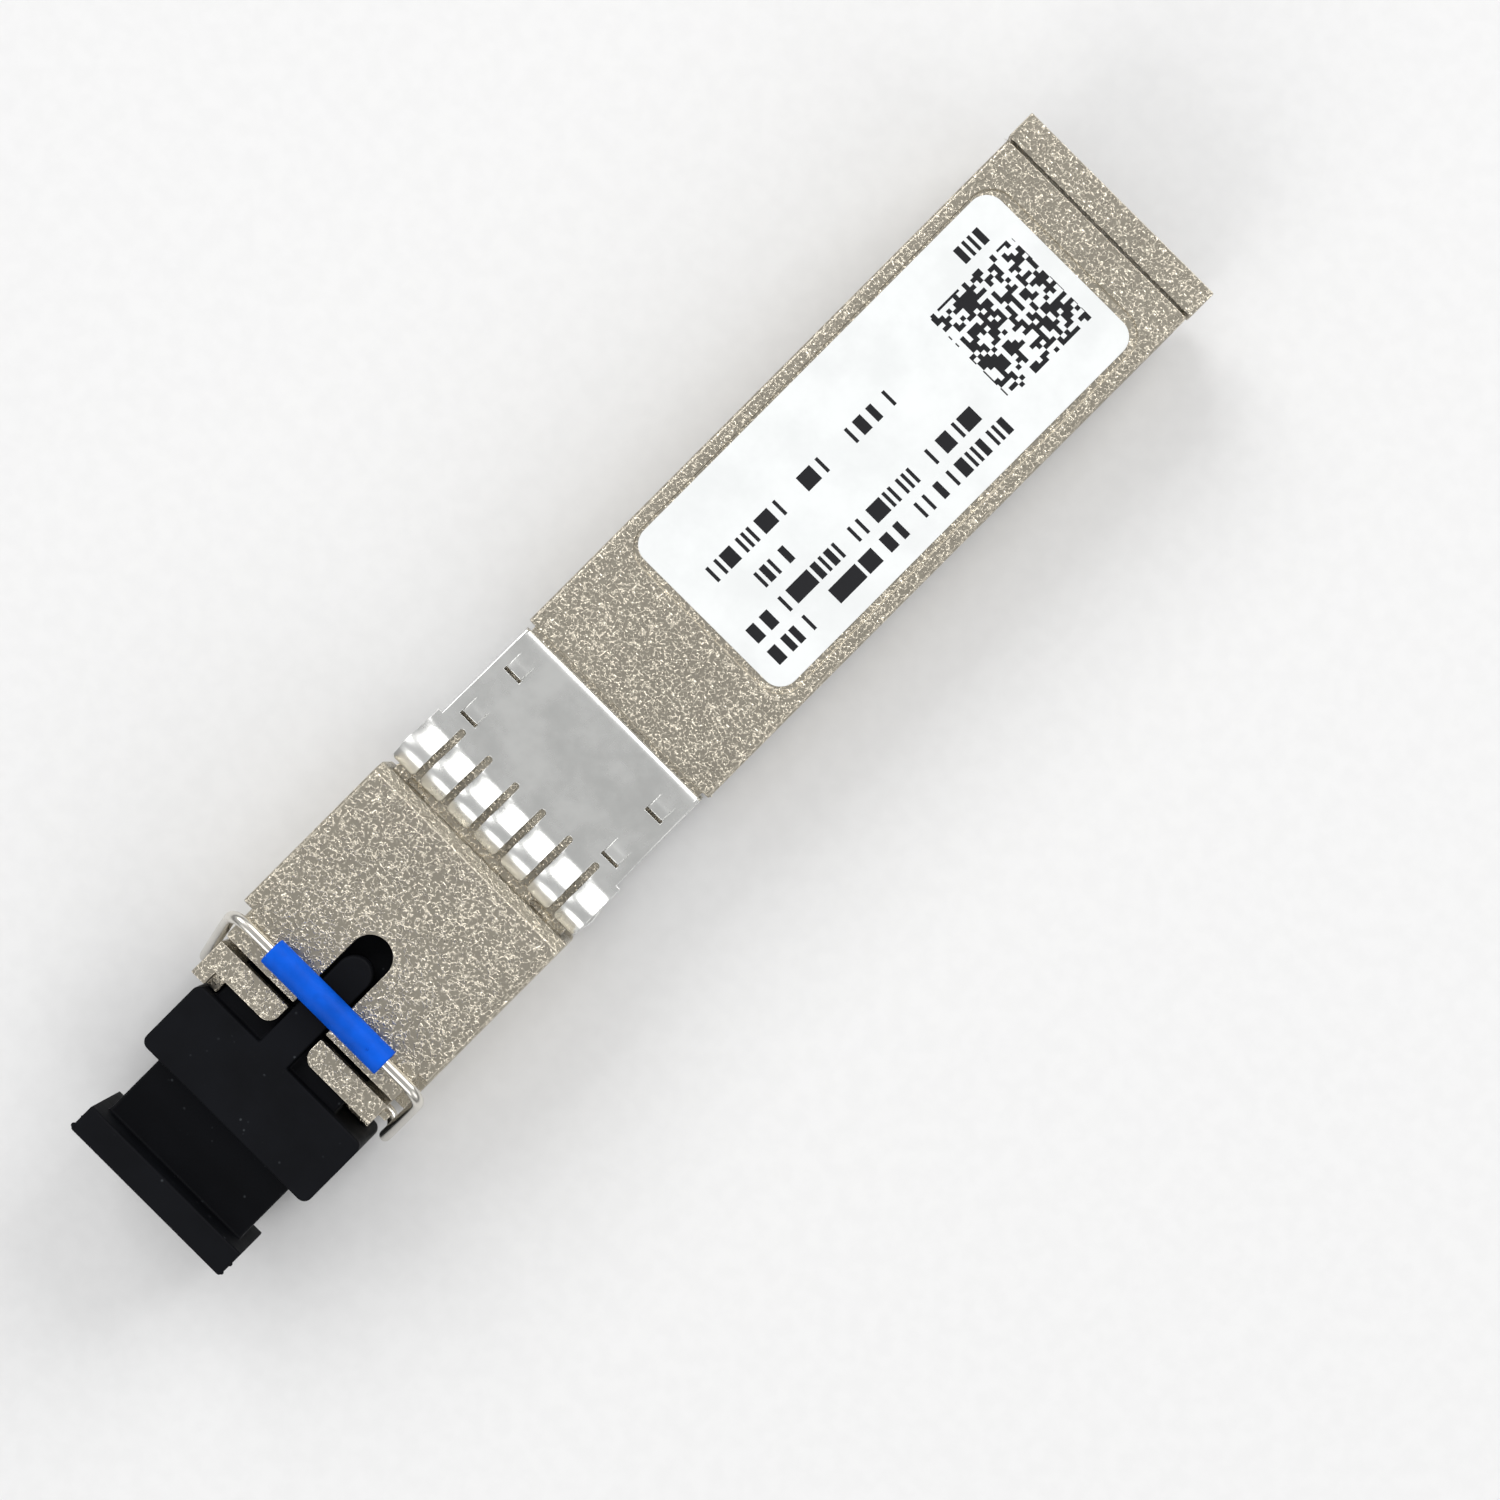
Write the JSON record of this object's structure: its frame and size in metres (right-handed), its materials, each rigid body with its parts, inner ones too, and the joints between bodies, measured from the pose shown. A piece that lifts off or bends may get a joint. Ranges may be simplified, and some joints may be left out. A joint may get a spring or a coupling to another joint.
{
  "type": "optical transceiver module",
  "caption": "Pluggable optical transceiver module with a square optical port, spring collar, card edge, wire bail release and a fitted dust plug.",
  "frame": {"origin": "centre of the module's footprint, on the plane of the screwed cover plate's outer face", "axes": "+Y from the optical port to the card edge, +Z out of the label side, +X to the right seen from the port"},
  "size_m": [0.0147, 0.074, 0.0122],
  "materials": {
    "shell_metal": "nickel-plated die-cast zinc with a fine cast grain",
    "cover_metal": "satin nickel plate",
    "screw_steel": "satin nickel plate",
    "spring_steel": "smooth bright sheet",
    "wire_steel": "polished drawn wire",
    "sleeve_blue": "satin blue tube",
    "plug_rubber": "matte moulded rubber",
    "label_film": null,
    "board_green": "green solder mask on glass laminate",
    "contact_gold": "gold plate",
    "chip_black": "moulded chip package",
    "capacitor_tan": "ceramic with tinned ends",
    "inductor_grey": "pressed ferrite",
    "can_gold": "gold-plated can",
    "crystal_metal": "plated lid",
    "pad_grey": "soft filled silicone",
    "optic_steel": "turned stainless steel",
    "zirconia": "polished white ceramic",
    "flex_amber": "polyimide film",
    "insert_plastic": "moulded plastic"
  },
  "bodies": {
    "housing": {"bottom_shell": "shell_metal", "top_shell": "shell_metal", "cover_plate": "cover_metal", "cover_screws": "screw_steel", "emi_clip": "spring_steel", "label": "label_film", "circuit_board": "board_green", "contacts_bottom": "contact_gold", "contacts_top": "contact_gold", "laser_driver": "chip_black", "controller_chip": "chip_black", "amplifier_chip": "chip_black", "chip_capacitors": "capacitor_tan", "power_inductors": "inductor_grey", "crystal": "crystal_metal", "thermal_pad": "pad_grey", "optical_body": "optic_steel", "ferrule_barrel": "optic_steel", "ferrule_sleeve": "zirconia", "fibre_stub": "zirconia", "laser_can": "can_gold", "detector_can": "can_gold", "laser_flex": "flex_amber", "detector_flex": "flex_amber", "port_insert": "insert_plastic", "locating_pin": "optic_steel"},
    "slider": {"release_slider": "spring_steel"},
    "bail": {"bail_wire": "wire_steel", "bail_sleeve": "sleeve_blue"},
    "plug": {"dust_plug": "plug_rubber"}
  },
  "joints": [
    {"name": "bail_pivot", "type": "hinge", "parent": "housing", "child": "bail", "pos_m": [0, -0.02565, 0.0017], "axis": [1, 0, 0], "range_deg": [0, 35]},
    {"name": "release_slide", "type": "slide", "parent": "housing", "child": "slider", "axis": [0, 1, 0], "range_m": [0, 0.0007]},
    {"name": "dust_plug_pull", "type": "slide", "parent": "housing", "child": "plug", "axis": [0, -1, 0], "range_m": [0, 0.025]}
  ],
  "couplings": [
    {"joint": "bail_pivot", "follows": "release_slide", "rad_per_m": 870}
  ]
}
